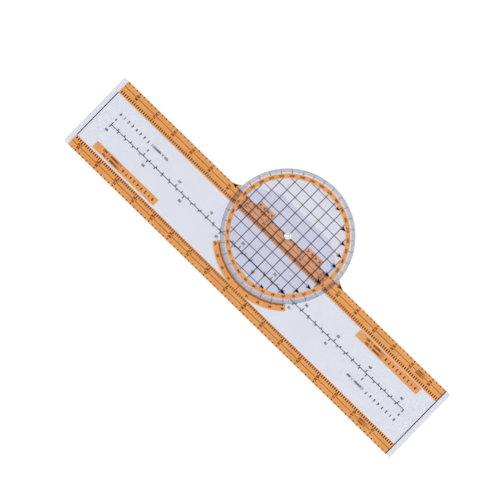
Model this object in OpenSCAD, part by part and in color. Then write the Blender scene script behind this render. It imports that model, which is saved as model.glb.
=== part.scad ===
// Course plotter with a rotating azimuth disc: a clear ruler with printed chart scales, and a clear
// disc that turns on an eyelet at the middle of one long edge of the ruler.
// Millimetres and degrees, +Z up. The origin is on the eyelet's axis, on the surface that the
// plotter lies on. +X runs along the ruler and +Y from the pivot edge to the far edge, so that the
// numbers on the ruler read upright. North on the disc points to -X, where the arrows point.

/* [Ruler] */
// Length of the ruler
ruler_l = 330.2; // [300:0.1:360]
// Width of the ruler, from the pivot edge to the far edge
ruler_w = 63.5; // [63:0.1:75]
// Thickness of the ruler
plate_t = 1; // [0.9:0.05:2]
// Radius of the ruler's four corners
corner_r = 1.2; // [0.5:0.1:3]
// From each end of the ruler to the middle of its end line
end_margin = 4.15; // [2:0.05:8]

/* [Tab] */
// Reach of the tab beyond the pivot edge
tab_reach = 19.05; // [14:0.05:24]
// Slope of the tab's sides to the pivot edge
tab_slope = 32; // [28:1:40]
// Radius of the tab's two outer corners
tab_corner_r = 10; // [4:0.5:14]
// Radius where the tab's sides run into the pivot edge
tab_fillet_r = 8; // [4:0.5:12]
// From the course arrow's tip back to where the tab's side would meet the pivot edge
tab_tip_lap = 1; // [0.5:0.1:3]

/* [Disc] */
// From the disc's edge to the far band, where the arc lies; with the ruler's width it sets the disc's size
arc_room = 4.8; // [4.5:0.05:5.6]
// Thickness of the disc
disc_t = 0.8; // [0.5:0.05:1.5]
// Width of the clear rim that carries the degree marks
rim_w = 3.8; // [3.5:0.1:6]
// Width of the orange number ring inside the rim
number_ring_w = 3.3; // [3:0.1:6]
// From the disc's edge to the thin line that the degree marks hang from
rim_edge = 0.2; // [0.1:0.05:0.4]
// Length of a degree mark
degree_mark = 2.4; // [0.6:0.1:2.5]
// Length of every fifth degree mark
degree_mark_long = 2.8; // [1.2:0.1:2.8]
// Width of a degree mark
degree_mark_w = 0.24; // [0.08:0.01:0.3]
// Height of the numerals on the disc
disc_digit_h = 1.8; // [1.4:0.1:2.4]
// Least room between the number ring and the outermost grid line, measured along a radius
grid_edge = 1.5; // [1:0.1:4]
// Spacing of the grid lines
grid_pitch = 7.9375; // [5:0.0625:12]
// Width of the grid lines that end in an arrowhead
arrow_line_w = 0.34; // [0.15:0.01:0.5]
// Width of the grid lines across them
cross_line_w = 0.46; // [0.15:0.01:0.6]
// Length of a north arrowhead
north_head_l = 4.6; // [3:0.1:6]
// Width of a north arrowhead
north_head_w = 3.4; // [1.5:0.1:4]
// From the number ring's inner edge out to the circle that the arrows' tips would reach
north_tip_lap = 0.3; // [0.2:0.1:1.5]

/* [Pivot] */
// Diameter of the hole through the eyelet, for a pencil point
eyelet_hole_d = 2.5; // [1.5:0.1:3]
// Wall of the eyelet's barrel
eyelet_wall = 0.35; // [0.2:0.05:0.5]
// Diameter of the eyelet's top flange
flange_d = 5; // [4.6:0.1:7]
// Thickness of the flange
flange_t = 0.35; // [0.25:0.05:0.6]
// Diameter of the lip rolled out underneath
lip_d = 4.4; // [4.2:0.1:6]
// Thickness of the lip
lip_t = 0.3; // [0.2:0.05:0.4]
// Thickness of the backing washer above the lip
backing_washer_t = 0.2; // [0.1:0.05:0.3]
// How far the backing washer reaches past the lip
backing_washer_lap = 0.4; // [0.2:0.1:1]
// Outside diameter of the slip washer between the ruler and the disc
slip_washer_d = 4.8; // [4.4:0.1:7]
// Gap round the eyelet's barrel in the turning disc
running_gap = 0.05; // [0.02:0.01:0.1]
// Gap round the barrel in the ruler and the washers, and round the backing washer
set_gap = 0.02; // [0.01:0.01:0.05]
// Lift that the disc has under the flange
axial_play = 0.05; // [0.02:0.01:0.15]

/* [Printing] */
// Thickness of one layer of ink
ink_t = 0.1; // [0.05:0.01:0.15]
// Gap between the ruler's topmost ink and the disc
print_gap = 0.2; // [0.1:0.05:0.5]
// Gap left in the printing round the washer and the flange
hub_clear = 0.3; // [0.2:0.1:1]
// Width of a mark on the scales
tick_w = 0.5; // [0.15:0.01:0.6]
// Width of the thin line that joins the marks of a scale
joint_line_w = 0.1; // [0.05:0.01:0.2]
// Width of the end lines
end_line_w = 0.7; // [0.2:0.05:1]
// Stroke of a numeral, as a share of its height
digit_stroke = 0.16; // [0.1:0.01:0.18]

/* [Edge scales] */
// Chart scale of the marks along the ruler's edges, one to this many thousand
outer_scale_k = 500; // [400:50:600]
// Chart scale of the marks along the bands' inner edges, one to this many thousand
inner_scale_k = 1000; // [800:50:1200]
// Width of the orange band along the pivot edge
pivot_band_w = 10.9; // [10:0.1:11]
// Width of the orange band along the far edge
far_band_w = 9.5; // [9.2:0.1:9.8]
// Length of a mark on the edge scales
outer_tick = 1.2; // [0.8:0.1:1.5]
// Length of every fifth mark on the edge scales
outer_tick_long = 1.5; // [1:0.1:1.8]
// Length of a mark on the inner scales
inner_tick = 2; // [1.2:0.1:2.4]
// Length of every fifth mark on the inner scales
inner_tick_long = 2.5; // [1.6:0.1:2.6]
// From the pivot band's inner edge to its inner scale
pivot_inner_margin = 1; // [0.4:0.1:1.2]
// From the pivot edge to the pivot band's middle line
pivot_mid_y = 4.4; // [4:0.1:5]
// From the far edge to the far band's middle line
far_mid_inset = 4.45; // [4:0.1:5]
// Width of the middle lines
mid_line_w = 0.24; // [0.05:0.01:0.3]
// Half the gap in a middle line at each number
mid_line_gap = 2; // [1:0.1:4]
// Height of the numerals on the bands
band_digit_h = 1.9; // [1.4:0.1:2]
// From a band's middle line to the middle of each row of numerals
band_row_offset = 1.15; // [1.1:0.05:1.3]

/* [Centre scale] */
// Chart scale of the centre scale, one to this many thousand
centre_scale_k = 250; // [200:10:300]
// From the pivot edge to the centre line
centre_y = 31.4; // [29:0.1:33]
// Width of the centre line
centre_line_w = 0.4; // [0.15:0.05:0.6]
// Length of a mark on the centre scale
centre_tick = 1.2; // [0.6:0.1:1.6]
// Length of every fifth mark
centre_tick_long = 2.1; // [1.4:0.1:2.4]
// Least room between an end line and the end of the centre scale
centre_end_room = 8; // [4:0.5:12]
// Height of the numerals
centre_digit_h = 2; // [1.4:0.1:2.4]
// From the centre line to the middle of each row of numerals
centre_row_offset = 5; // [4:0.1:5.5]

/* [Label panels] */
// Length of the two long panels
panel_l = 61.5; // [50:0.5:62]
// Height of the two long panels
panel_h = 5.9; // [5:0.1:6.4]
// From an end line to the outer end of a long panel
panel_inset = 14.1; // [8:0.1:20]
// Gap between the pivot band and its panel
pivot_panel_gap = 0.5; // [0.2:0.1:1]
// Gap between the far band and its panel
far_panel_gap = 1.5; // [0.3:0.1:2]
// Length of the two panels on the tab
tab_panel_l = 15.2; // [10:0.1:17]
// Height of the two panels on the tab
tab_panel_h = 4.8; // [4:0.1:6]
// From the eyelet's axis to the near end of a tab panel
tab_panel_x = 16.6; // [14:0.1:20]
// Height of the numerals in a row of counts
count_digit_h = 2.3; // [1.4:0.1:2.6]
// Height of the numerals of the scale ratios beside it
ratio_digit_h = 1.8; // [1.2:0.1:2]
// Height of the numerals of the scale ratios on the bands
band_ratio_digit_h = 1.4; // [1:0.1:1.6]
// From the last number of a row of counts to its ratio
ratio_gap = 3; // [2:0.5:6]
// From the middle of a long panel to the middle of each of its two rows of ratios
ratio_row_offset = 1.35; // [1.1:0.05:1.8]
// From the end of a long panel at -X to its first number
panel_pad = 3.6; // [2:0.1:6]
// Last number in a long panel, in nautical miles
panel_count = 8; // [4:1:9]
// Last number in a row beside the centre scale, in kilometres
centre_count = 7; // [4:1:9]
// From the centre line to the middle of the rows beside it
centre_label_offset = 10; // [8.5:0.1:11]
// Number of small arrows on each tab panel
tab_darts = 4; // [2:1:5]
// Length of a small arrow on a tab panel
tab_dart_l = 2.2; // [1.5:0.1:2.8]
// Width of a small arrow on a tab panel
tab_dart_w = 2; // [1:0.1:3]

/* [Course arrow and arc] */
// Width of the course arrow's line
course_line_w = 0.45; // [0.3:0.05:0.8]
// How far the course arrow reaches past the disc's edge
course_reach = 6.8; // [6:0.1:9]
// Length of the course arrow's heads
course_head_l = 5; // [3:0.1:6]
// Width of the course arrow's heads
course_head_w = 3; // [1.5:0.1:3.4]
// Gap between the disc's edge and the orange patches beside the arrowheads
flare_gap = 0.5; // [0.2:0.1:1]
// From the course arrow's tip back to the end of the orange patch beside it
flare_trim = 2.5; // [1.5:0.1:4]
// How far the arc is tucked under the disc's edge
arc_tuck = 0.4; // [0.2:0.1:1]
// How far the arc's round outer edge would reach past the far band's straight edge
arc_crown = 0.6; // [0.1:0.1:1]
// Half the angle that the arc spans
arc_half_angle = 42.3; // [41.5:0.1:44]
// From the disc's edge to the arc's marks
arc_tick_gap = 0.35; // [0.2:0.05:0.6]
// Length of a mark on the arc
arc_tick = 0.8; // [0.4:0.1:1]
// Length of every fifth mark on the arc
arc_tick_long = 1.3; // [0.6:0.1:1.5]
// Width of a mark on the arc
arc_tick_w = 0.42; // [0.15:0.01:0.5]
// Height of the arc's numerals
arc_digit_h = 1.8; // [1.4:0.1:1.9]
// From the arc's outer edge to its numerals
arc_number_inset = 1; // [0.6:0.1:1.2]

/* [Hidden] */
$fn = 128;
sliver = 0.01;             // cutters reach this far past the faces that they cut
arc_steps = 8;             // straight steps in a rounded corner of an outline

clear = [0.86, 0.88, 0.94, 0.45];
disc_clear = [0.8, 0.82, 0.88, 0.45];
orange = [0.95, 0.63, 0.29];
dark = [0.2, 0.17, 0.2];
metal = [0.85, 0.85, 0.83];
white = [0.93, 0.93, 0.93];

// Heights of the layers, from the resting surface up
print_z = plate_t;                        // orange ink, and dark ink where no orange lies under it
mark_z = plate_t + ink_t;                 // dark ink on orange
slip_washer_t = 2 * ink_t + print_gap;
disc_z = plate_t + slip_washer_t;
disc_print_z = disc_z + disc_t;
disc_mark_z = disc_print_z + ink_t;
flange_z = disc_z + disc_t + axial_play;
flange_roll = 0.5;                        // radius rolled on the flange, as a share of its thickness

// Radii round the pivot
hole_r = eyelet_hole_d / 2;
barrel_r = hole_r + eyelet_wall;
flange_r = flange_d / 2;
lip_r = lip_d / 2;
backing_washer_r = lip_r + backing_washer_lap;
slip_washer_r = slip_washer_d / 2;
base_hub_r = slip_washer_r + hub_clear;   // printing on the ruler stays outside this
disc_hub_r = flange_r + hub_clear;        // printing on the disc stays outside this
disc_r = ruler_w - far_band_w - arc_room;
ring_out_r = disc_r - rim_w;
ring_in_r = ring_out_r - number_ring_w;

// Along the ruler
line_x = ruler_l / 2 - end_margin;        // middle of the end lines
band_x0 = -line_x + end_line_w / 2;
band_x1 = line_x;
far_band_y = ruler_w - far_band_w;
far_mid_y = ruler_w - far_mid_inset;
arc_reach = arc_room + arc_crown;         // from the disc's edge to the arc's outer edge
panel_out_x = line_x - panel_inset;
pivot_panel_y = pivot_band_w + pivot_panel_gap;
far_panel_y = far_band_y - far_panel_gap - panel_h;
tab_panel_y = -course_line_w / 2 - tab_panel_h;
course_tip_x = disc_r + course_reach;
course_neck_x = course_tip_x - course_head_l;

// Chart distances in millimetres
nautical = 1852;                          // metres in a nautical mile
statute = 1609.344;                       // metres in a statute mile
outer_step = nautical / outer_scale_k;
inner_step = nautical / inner_scale_k;
centre_step = nautical / centre_scale_k;
statute_step = statute / centre_scale_k;
kilometre_step = 1000 / centre_scale_k;
outer_number = 5;                         // miles between numbers on the edge scales
inner_number = 10;                        // miles between numbers on the inner scales
centre_number = 5;                        // miles between numbers on the centre scale
tick_group = 5;                           // every fifth mark is long
arc_scale_end = 40;                       // degrees
number_step = 10;                         // degrees between numbers on the arc and on the disc
degree_slit = 0.03;                       // degrees
number_room = 3;                          // least room between a number and an end line
centre_groups = floor((2 * line_x - 2 * centre_end_room) / (centre_number * centre_step));
centre_half_l = centre_groups * centre_number * centre_step / 2;
statute_miles = centre_number * floor(2 * centre_half_l / (centre_number * statute_step));

function unit(v) = v / norm(v);
function at_angle(a) = [cos(a), sin(a)];

// Points of an arc from angle a0 to a1 about c
function arc(c, r, a0, a1, steps = arc_steps) =
    [for (i = [0:steps]) c + r * at_angle(a0 + (a1 - a0) * i / steps)];

// Points that round the corner b of the path a, b, c with radius r
function rounded(a, b, c, r) =
    let (u = unit(a - b), v = unit(c - b), half = acos(u * v) / 2,
         centre = b + unit(u + v) * r / sin(half),
         from = b + u * r / tan(half) - centre, to = b + v * r / tan(half) - centre,
         a0 = atan2(from.y, from.x), turn = atan2(to.y, to.x) - a0)
    arc(centre, r, a0, a0 + turn - 360 * round(turn / 360));

// Outline of the ruler with its tab: each corner is [x, y, radius]
function plate_corners() =
    let (x = ruler_l / 2, root = course_tip_x - tab_tip_lap, top = root - tab_reach / tan(tab_slope))
    [[-x, 0, corner_r], [-root, 0, tab_fillet_r], [-top, -tab_reach, tab_corner_r],
     [top, -tab_reach, tab_corner_r], [root, 0, tab_fillet_r], [x, 0, corner_r],
     [x, ruler_w, corner_r], [-x, ruler_w, corner_r]];
function xy(p) = [p.x, p.y];
function plate_outline() =
    let (p = plate_corners(), n = len(p))
    [for (i = [0:n - 1]) each rounded(xy(p[(i + n - 1) % n]), xy(p[i]), xy(p[(i + 1) % n]), p[i].z)];

// The four points of one mark that stands on the line y0 and ends at y1
function mark(x, y0, y1) =
    let (r = x + tick_w / 2, l = x - tick_w / 2)
    [[r, y0], [r, y1], [l, y1], [l, y0]];
function reversed(p) = [for (i = [len(p) - 1:-1:0]) p[i]];
function mark_length(i, short, long) = i % tick_group == 0 ? long : short;

// Outline of a row of marks between x0 and x1 on a thin line at y. The marks reach towards +Y
// where side is 1 and towards -Y where it is -1, and mark 0 would stand at zero.
function scale_outline(x0, x1, zero, step, y, side, short, long) =
    let (first = ceil((x0 + tick_w / 2 - zero) / step),
         last = floor((x1 - tick_w / 2 - zero) / step),
         foot = y + side * joint_line_w)
    concat([[x0, y], [x1, y], [x1, foot]],
           [for (i = [last:-1:first])
               each mark(zero + i * step, foot, y + side * mark_length(i, short, long))],
           [[x0, foot]]);

// Outline of an arrowhead that points to +X, with its tip at the origin and a notched back
notch = 0.25;                             // depth of the notch, as a share of the head's length
function dart(l, w, neck) =
    let (x = -l * (1 - notch))
    [[0, 0], [-l, w / 2], [x, neck / 2], [x, -neck / 2], [-l, -w / 2]];

// Numerals: each is one closed outline one unit high, with a narrow slit into each closed counter
glyph_w = 0.52;                           // width of a numeral, as a share of its height
glyph_pitch = 0.68;                       // from one numeral to the next
slit = 0.04;
flag = 0.16;                              // reach of the flag of a one
slash = 10;                               // the glyphs after the ten numerals
point = 11;
function glyph(n) =
    let (w = glyph_w, s = digit_stroke, i = w - s, t = 1 - s, a = 0.5 - s / 2, b = 0.5 + s / 2,
         q = i / 2, f = q - flag, g = s + slit, lo = 0.5 - slit / 2, hi = 0.5 + slit / 2)
    n == 0 ? [[0, 0], [w, 0], [w, 1], [0, 1], [0, hi], [s, hi], [s, t], [i, t], [i, s], [s, s],
              [s, lo], [0, lo]] :
    n == 1 ? [[q, 0], [q + s, 0], [q + s, 1], [q, 1], [f, t], [f, t - flag], [q, t - flag / 2]] :
    n == 2 ? [[0, 0], [w, 0], [w, s], [s, s], [s, a], [w, a], [w, 1], [0, 1], [0, t], [i, t],
              [i, b], [0, b]] :
    n == 3 ? [[0, 0], [w, 0], [w, 1], [0, 1], [0, t], [i, t], [i, b], [s, b], [s, a], [i, a],
              [i, s], [0, s]] :
    n == 4 ? [[i, 0], [w, 0], [w, 1], [i, 1], [i, b], [s, b], [s, 1], [0, 1], [0, a], [i, a]] :
    n == 5 ? [[0, 0], [w, 0], [w, b], [s, b], [s, t], [w, t], [w, 1], [0, 1], [0, a], [i, a],
              [i, s], [0, s]] :
    n == 6 ? [[0, 0], [w, 0], [w, b], [g, b], [g, a], [i, a], [i, s], [s, s], [s, t], [w, t],
              [w, 1], [0, 1]] :
    n == 7 ? [[i, 0], [w, 0], [w, 1], [0, 1], [0, t], [i, t]] :
    n == 8 ? [[0, 0], [w, 0], [w, 1], [0, 1], [0, hi], [s, hi], [s, t], [i, t], [i, b], [g, b],
              [g, a], [i, a], [i, s], [s, s], [s, lo], [0, lo]] :
    n == 9 ? [for (p = glyph(6)) [w - p.x, 1 - p.y]] :
    n == slash ? [[0, 0], [s, 0], [w, 1], [i, 1]] :
    [[q, 0], [q + s, 0], [q + s, s], [q, s]];
function digits(n) = n < 10 ? [n] : concat(digits(floor(n / 10)), [n % 10]);

// A layer of ink with this outline
module ink(outline) { linear_extrude(height = ink_t) polygon(outline); }

// A row of glyphs that starts at the origin and runs towards +X
module glyphs(row, h) {
    for (i = [0:len(row) - 1]) translate([i * glyph_pitch * h, -h / 2, 0]) ink(h * glyph(row[i]));
}
// A number centred on the origin
module number(n, h) {
    row = digits(n);
    translate([-((len(row) - 1) * glyph_pitch + glyph_w) * h / 2, 0, 0]) glyphs(row, h);
}
// The glyphs of a number with three decimals
function decimals(v) =
    let (d = digits(round(v * 1000)), whole = len(d) - 3)
    [for (i = [0:len(d)]) i < whole ? d[i] : i == whole ? point : d[i - 1]];
function ratio_row(k) = concat([1, slash], digits(k * 1000));
// A scale's ratio, from the origin, and then the length of one mile on it in millimetres
module ratio_and_mile(k, step) {
    glyphs(ratio_row(k), ratio_digit_h);
    translate([(len(ratio_row(k)) + 1) * glyph_pitch * ratio_digit_h, 0, 0])
        glyphs(decimals(step), ratio_digit_h);
}
// A ratio centred on the origin
module small_ratio(k) {
    row = ratio_row(k);
    translate([-((len(row) - 1) * glyph_pitch + glyph_w) * band_ratio_digit_h / 2, 0, 0])
        glyphs(row, band_ratio_digit_h);
}

// A row of counts from zero at the origin, one step apart
module counts(step, last) {
    for (i = [0:last]) translate([i * step, 0, 0]) number(i, count_digit_h);
}

module mirrored_pair() {
    children();
    mirror([1, 0, 0]) children();
}

module base_plate() color(clear) difference() {
    linear_extrude(height = plate_t) polygon(plate_outline());
    translate([0, 0, -sliver]) cylinder(r = barrel_r + set_gap, h = plate_t + 2 * sliver);
    translate([0, 0, -sliver])
        cylinder(r = backing_washer_r + set_gap, h = lip_t + backing_washer_t + sliver);
}

module backing_washer() color(metal) translate([0, 0, lip_t]) difference() {
    cylinder(r = backing_washer_r, h = backing_washer_t);
    translate([0, 0, -sliver]) cylinder(r = barrel_r + set_gap, h = backing_washer_t + 2 * sliver);
}

module slip_washer() color(white) translate([0, 0, plate_t]) difference() {
    cylinder(r = slip_washer_r, h = slip_washer_t);
    translate([0, 0, -sliver]) cylinder(r = barrel_r + set_gap, h = slip_washer_t + 2 * sliver);
}

// The eyelet is one turned profile: lip, barrel and rolled flange round a straight hole
module eyelet() {
    top = flange_z + flange_t;
    roll = flange_t * flange_roll;
    lip_roll = lip_t / 2;
    color(metal) rotate_extrude() polygon(concat(
        [[hole_r, 0]],
        arc([lip_r - lip_roll, lip_roll], lip_roll, -90, 0, 4),
        [[lip_r, lip_t], [barrel_r, lip_t], [barrel_r, flange_z], [flange_r, flange_z]],
        arc([flange_r - roll, top - roll], roll, 0, 90, 5),
        arc([hole_r + roll, top - roll], roll, 90, 180, 5)));
}

module azimuth_disc() color(disc_clear) translate([0, 0, disc_z]) difference() {
    cylinder(r = disc_r, h = disc_t);
    translate([0, 0, -sliver]) cylinder(r = barrel_r + running_gap, h = disc_t + 2 * sliver);
}

// Half of the course arrow's outline, from the hub to the tip at +X
function course_outline() =
    let (w = course_line_w / 2, head = dart(course_head_l, course_head_w, course_line_w))
    concat([[0, -w]], [for (i = [3, 4, 0, 1, 2]) head[i] + [course_tip_x, 0]], [[0, w]]);
module course_arrow() color(dark) translate([0, 0, print_z]) mirrored_pair() difference() {
    intersection() {
        linear_extrude(height = 2 * ink_t) polygon(course_outline());
        linear_extrude(height = 2 * ink_t) polygon(plate_outline());
    }
    translate([0, 0, -sliver]) cylinder(r = base_hub_r, h = 2 * ink_t + 2 * sliver);
}

// Cuts the course arrow and the hub out of the orange ink
module course_cutter() translate([0, 0, -sliver]) {
    cylinder(r = base_hub_r, h = ink_t + 2 * sliver);
    mirrored_pair() linear_extrude(height = ink_t + 2 * sliver) polygon(course_outline());
}

module pivot_band() color(orange) translate([0, 0, print_z]) difference() {
    translate([band_x0, 0, 0]) cube([band_x1 - band_x0, pivot_band_w, ink_t]);
    course_cutter();
}

module far_band() color(orange)
    translate([band_x0, far_band_y, print_z]) cube([band_x1 - band_x0, far_band_w, ink_t]);

module pivot_label_panel() color(orange)
    translate([-panel_out_x, pivot_panel_y, print_z]) cube([panel_l, panel_h, ink_t]);

module far_label_panel() color(orange)
    translate([panel_out_x - panel_l, far_panel_y, print_z]) cube([panel_l, panel_h, ink_t]);

module tab_panels() color(orange) mirrored_pair()
    translate([tab_panel_x, tab_panel_y, print_z]) cube([tab_panel_l, tab_panel_h, ink_t]);

// The orange patches fill the tab outside the disc, as far as the arrowheads leave room
module flare_panels() color(orange) translate([0, 0, print_z]) mirrored_pair() difference() {
    intersection() {
        linear_extrude(height = ink_t) polygon(plate_outline());
        translate([0, -tab_reach, 0]) cube([course_tip_x - flare_trim, tab_reach, ink_t]);
    }
    translate([0, 0, -sliver]) cylinder(r = disc_r + flare_gap, h = ink_t + 2 * sliver);
    translate([0, 0, -sliver]) linear_extrude(height = ink_t + 2 * sliver) polygon(course_outline());
}

module arc_band() color(orange) translate([0, 0, print_z]) difference() {
    rotate([0, 0, 90 - arc_half_angle]) rotate_extrude(angle = 2 * arc_half_angle)
        translate([disc_r - arc_tuck, 0]) square([arc_reach + arc_tuck, ink_t]);
    translate([-disc_r, far_band_y, -sliver]) cube([2 * disc_r, far_band_w, ink_t + 2 * sliver]);
}

module end_lines() color(dark) translate([-end_line_w / 2, 0, print_z]) {
    translate([-line_x, 0, 0]) cube([end_line_w, ruler_w, ink_t]);
    translate([line_x, pivot_band_w, 0]) cube([end_line_w, far_band_y - pivot_band_w, ink_t]);
}

// The edge scale gives way to the course arrow's heads, and follows its line under the disc
module pivot_outer_scale() color(dark) translate([0, 0, mark_z]) {
    out_x = course_tip_x + hub_clear;
    for (span = [[band_x0, -out_x, 0], [out_x, band_x1, 0],
                 [-course_neck_x + hub_clear, -base_hub_r, course_line_w / 2],
                 [base_hub_r, course_neck_x - hub_clear, course_line_w / 2]])
        ink(scale_outline(span.x, span.y, 0, outer_step, span.z, 1, outer_tick, outer_tick_long));
}

module pivot_inner_scale() color(dark) translate([0, 0, mark_z])
    ink(scale_outline(band_x0, band_x1, 0, inner_step, pivot_band_w - pivot_inner_margin, -1,
                      inner_tick, inner_tick_long));

module far_outer_scale() color(dark) translate([0, 0, mark_z])
    ink(scale_outline(band_x0, band_x1, -line_x, outer_step, ruler_w, -1, outer_tick, outer_tick_long));

module far_inner_scale() color(dark) translate([0, 0, mark_z])
    ink(scale_outline(band_x0, band_x1, -line_x, inner_step, far_band_y, 1, inner_tick, inner_tick_long));

// A middle line between x0 and x1, open at each number that lies between them
module mid_line(x0, x1, y, zero) {
    pitch = outer_number * outer_step;
    first = ceil((x0 - zero) / pitch);
    last = floor((x1 - zero) / pitch);
    stops = concat([x0 - mid_line_gap], [for (i = [first:last]) if (i != 0) zero + i * pitch],
                   [x1 + mid_line_gap]);
    for (i = [0:len(stops) - 2]) {
        a = stops[i] + mid_line_gap;
        b = stops[i + 1] - mid_line_gap;
        if (b - a > mid_line_w) translate([a, y - mid_line_w / 2, 0]) cube([b - a, mid_line_w, ink_t]);
    }
}
module band_mid_lines() color(dark) translate([0, 0, mark_z]) {
    mid_line(band_x0, band_x1, pivot_mid_y, 0);
    mid_line(band_x0, band_x1, far_mid_y, -line_x);
}

// Numbers at every group of miles from zero, as far as last_x
module number_row(zero, last_x, y, step, group, side) {
    pitch = group * step;
    for (i = [1:floor((abs(last_x - zero) - number_room) / pitch)])
        translate([zero + side * i * pitch, y, 0]) number(i * group, band_digit_h);
}

// The two ratios of a band, one above the other, between two numbers at x
module band_ratios(x, y, above_k, below_k) {
    translate([x, y + band_row_offset, 0]) small_ratio(above_k);
    translate([x, y - band_row_offset, 0]) small_ratio(below_k);
}

// The pivot scales count both ways from the eyelet
module pivot_numerals() color(dark) translate([0, 0, mark_z]) {
    for (side = [-1, 1]) {
        number_row(0, side * line_x, pivot_mid_y + band_row_offset, inner_step, inner_number, side);
        number_row(0, side * line_x, pivot_mid_y - band_row_offset, outer_step, outer_number, side);
    }
    last = floor((line_x - number_room) / (outer_number * outer_step));
    band_ratios((0.5 - last) * outer_number * outer_step, pivot_mid_y, inner_scale_k, outer_scale_k);
}

// The far scales count from the end line at -X
module far_numerals() color(dark) translate([0, 0, mark_z]) {
    number_row(-line_x, line_x, far_mid_y + band_row_offset, outer_step, outer_number, 1);
    number_row(-line_x, line_x, far_mid_y - band_row_offset, inner_step, inner_number, 1);
    band_ratios(-line_x + 1.5 * outer_number * outer_step, far_mid_y, outer_scale_k, inner_scale_k);
}

// The centre line: nautical miles count towards +X above it, statute miles towards -X below it
module centre_scale() color(dark) translate([0, centre_y, print_z]) {
    w = centre_line_w / 2;
    lengths = [for (i = [0:centre_groups * centre_number]) mark_length(i, centre_tick, centre_tick_long)];
    below = [for (i = [statute_miles:-1:0])
        each reversed(mark(centre_half_l - i * statute_step, -w, -w - lengths[i % tick_group]))];
    above = [for (i = [len(lengths) - 1:-1:0])
        each mark(-centre_half_l + i * centre_step, w, w + lengths[i])];
    ink(concat([[-centre_half_l - tick_w / 2, -w]], below, above));
}

// The statute numbers are mirrored, to be read from the back
module centre_numerals() color(dark) translate([0, centre_y, print_z]) {
    for (i = [0:centre_groups])
        translate([-centre_half_l + i * centre_number * centre_step, centre_row_offset, 0])
            number(i * centre_number, centre_digit_h);
    for (i = [0:floor(statute_miles / centre_number)])
        translate([centre_half_l - i * centre_number * statute_step, -centre_row_offset, 0])
            mirror([1, 0, 0]) number(i * centre_number, centre_digit_h);
}

// Kilometres counted from the zero end of each row of the centre scale, and the row's ratio
module counts_and_ratio(step) {
    counts(kilometre_step, centre_count);
    translate([centre_count * kilometre_step + ratio_gap, 0, 0]) ratio_and_mile(centre_scale_k, step);
}
module centre_marks() color(dark) translate([0, centre_y, print_z]) {
    translate([-centre_half_l, centre_label_offset, 0]) counts_and_ratio(centre_step);
    translate([centre_half_l, -centre_label_offset, 0]) mirror([1, 0, 0]) counts_and_ratio(statute_step);
}

// Both long panels count nautical miles, and carry the ratios of the two edge scales
module panel_content() {
    counts(outer_step, panel_count);
    translate([panel_count * outer_step + ratio_gap, 0, 0]) {
        translate([0, ratio_row_offset, 0]) ratio_and_mile(outer_scale_k, outer_step);
        translate([0, -ratio_row_offset, 0]) ratio_and_mile(inner_scale_k, inner_step);
    }
}
module panel_marks() color(dark) translate([0, 0, mark_z]) {
    translate([-panel_out_x + panel_pad, pivot_panel_y + panel_h / 2, 0]) panel_content();
    translate([panel_out_x - panel_l + panel_pad, far_panel_y + panel_h / 2, 0]) panel_content();
    mirrored_pair() translate([tab_panel_x, tab_panel_y + tab_panel_h / 2, 0]) for (i = [1:tab_darts])
        translate([(i - 0.5) * tab_panel_l / tab_darts + tab_dart_l / 2, 0, 0])
            ink(dart(tab_dart_l, tab_dart_w, tab_dart_w / 3));
}

// Marks round the arc on a thin line, with zero in the middle; the middle one runs out to the far band
function arc_scale_outline() =
    let (r0 = disc_r + arc_tick_gap, r1 = r0 + joint_line_w, a1 = arc_scale_end + 0.5, w = arc_tick_w / 2)
    concat(arc([0, 0], r0, 90 + a1, 90 - a1, arc_scale_end), [r1 * at_angle(90 - a1)],
           [for (i = [-arc_scale_end:arc_scale_end])
               let (u = at_angle(90 + i), v = [-u.y, u.x] * w,
                    r2 = i == 0 ? disc_r + arc_room : r0 + mark_length(i, arc_tick, arc_tick_long))
               each [r1 * u - v, r2 * u - v, r2 * u + v, r1 * u + v]],
           [r1 * at_angle(90 + a1)]);
module arc_ticks() color(dark) translate([0, 0, mark_z]) ink(arc_scale_outline());

module arc_numerals() color(dark) translate([0, 0, mark_z])
    for (a = [number_step:number_step:arc_scale_end], side = [-1, 1])
        rotate([0, 0, side * a]) translate([0, disc_r + arc_reach - arc_number_inset - arc_digit_h / 2, 0])
            number(a, arc_digit_h);

module number_ring() color(orange) translate([0, 0, disc_print_z]) difference() {
    cylinder(r = ring_out_r, h = ink_t);
    translate([0, 0, -sliver]) cylinder(r = ring_in_r, h = ink_t + 2 * sliver);
}

// Ten degree marks that hang inwards from a thin line; a narrow slit parts each ten from the next
function degree_outline() =
    let (r0 = disc_r - rim_edge, r1 = r0 - joint_line_w, w = degree_mark_w / 2, a0 = degree_slit - 0.5)
    concat(arc([0, 0], r0, a0, number_step - 0.5 - degree_slit, 2 * number_step),
           [for (i = [number_step - 1:-1:0])
               let (u = at_angle(i), v = [-u.y, u.x] * w,
                    r2 = i == 0 ? ring_out_r + joint_line_w :
                         r1 - (i == tick_group ? degree_mark_long : degree_mark))
               each [r1 * u + v, r2 * u + v, r2 * u - v, r1 * u - v]],
           [r1 * at_angle(a0)]);
module degree_ticks() color(dark) translate([0, 0, disc_print_z])
    for (a = [0:number_step:360 - number_step]) rotate([0, 0, a]) ink(degree_outline());

// The grid's lines stand at this many pitches on either side of the centre
grid_n = floor((ring_in_r - grid_edge) / grid_pitch);
// Half the width of the circle of radius r at the height y
function chord(y, r) = sqrt(r * r - y * y);
function north_tip_x(k) = -chord(k * grid_pitch, ring_in_r + north_tip_lap);

module north_heads(h) {
    intersection() {
        for (k = [-grid_n:grid_n])
            translate([north_tip_x(k), k * grid_pitch, 0]) mirror([1, 0, 0])
                linear_extrude(height = h) polygon(dart(north_head_l, north_head_w, arrow_line_w));
        cylinder(r = ring_in_r, h = h);
    }
}
module north_arrows() color(dark) translate([0, 0, disc_print_z]) north_heads(ink_t);

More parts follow.
